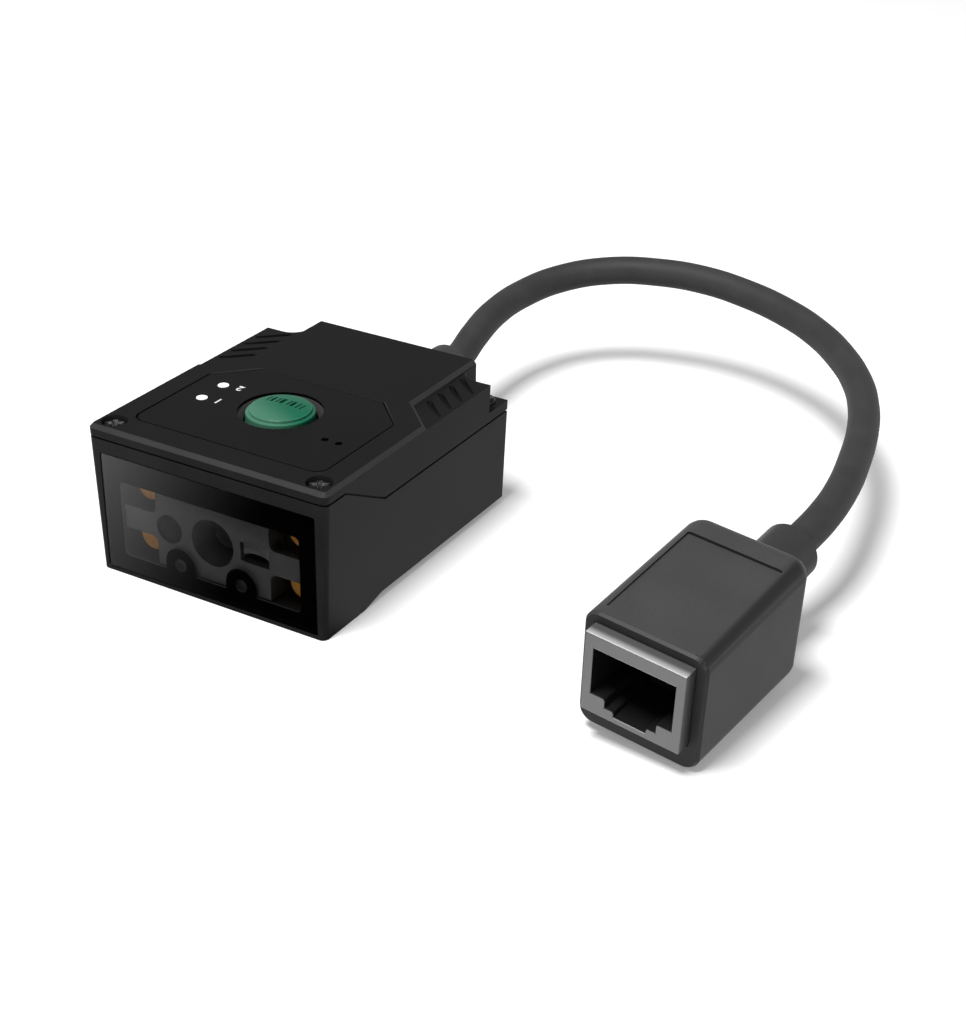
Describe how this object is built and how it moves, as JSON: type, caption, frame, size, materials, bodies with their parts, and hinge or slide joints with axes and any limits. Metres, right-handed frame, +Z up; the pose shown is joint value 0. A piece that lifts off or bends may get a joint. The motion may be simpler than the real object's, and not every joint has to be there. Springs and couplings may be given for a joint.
{
  "type": "fixed barcode reader",
  "caption": "Compact fixed bar-code reader in a split black housing, with a tinted scan window, a green push button and a short cable that ends in a modular network socket.",
  "frame": {"origin": "middle of the reader's footprint, on the plane that it stands on", "axes": "+X along the window to the right, +Y from the window to the rear, +Z up from the feet to the deck"},
  "size_m": [0.102, 0.1168, 0.0243],
  "materials": {
    "housing_black": "fine spark-eroded moulding texture",
    "cover_black": "fine spark-eroded moulding texture",
    "overlay_black": "fine satin film",
    "screw_black": "black oxide",
    "button_green": "satin green",
    "switch_black": "moulded",
    "switch_steel": "stamped",
    "light_white": "clear moulded",
    "led_white": "moulded",
    "window_glass": "polished, tinted",
    "mask_black": "printed",
    "engine_grey": "moulded",
    "lens_black": "anodised black",
    "lens_glass": "polished",
    "filter_dark": "polished",
    "board_green": "solder mask",
    "lamp_amber": "phosphor",
    "sensor_dark": "polished",
    "screw_steel": "plated",
    "flex_amber": "film",
    "header_cream": "moulded",
    "lead_vinyl": "vinyl",
    "insert_brass": "turned",
    "cable_rubber": "matte jacket",
    "boot_plastic": "moulded",
    "jack_grey": "moulded",
    "contact_gold": "plated"
  },
  "bodies": {
    "reader": {"base_housing": "housing_black", "top_cover": "cover_black", "top_overlay": "overlay_black", "cover_screws": "screw_black", "tact_switch": "switch_steel", "light_guides": "light_white", "status_leds": "led_white", "buzzer": "switch_black", "front_window": "window_glass", "window_mask": "mask_black", "engine_chassis": "engine_grey", "lens_barrel": "lens_black", "lens_glass": "lens_glass", "round_filter": "filter_dark", "aimer_lens": "lens_glass", "lamp_board": "board_green", "lamps": "lamp_amber", "sensor_board": "board_green", "image_sensor": "sensor_dark", "engine_screws": "screw_steel", "main_board": "board_green", "board_screws": "screw_steel", "sensor_flex": "flex_amber", "cable_header": "header_cream", "inner_leads": "lead_vinyl", "mount_inserts": "insert_brass", "cable_gland": "cable_rubber", "cable": "cable_rubber", "socket_boot": "boot_plastic", "jack_body": "jack_grey", "jack_contacts": "contact_gold"},
    "button": {"scan_button": "button_green", "switch_plunger": "switch_black"}
  },
  "joints": [
    {"name": "button_press", "type": "slide", "parent": "reader", "child": "button", "axis": [0, 0, -1], "range_m": [0, 0.0005], "stiffness_N_per_m": 1000, "springref_m": -0.001}
  ]
}
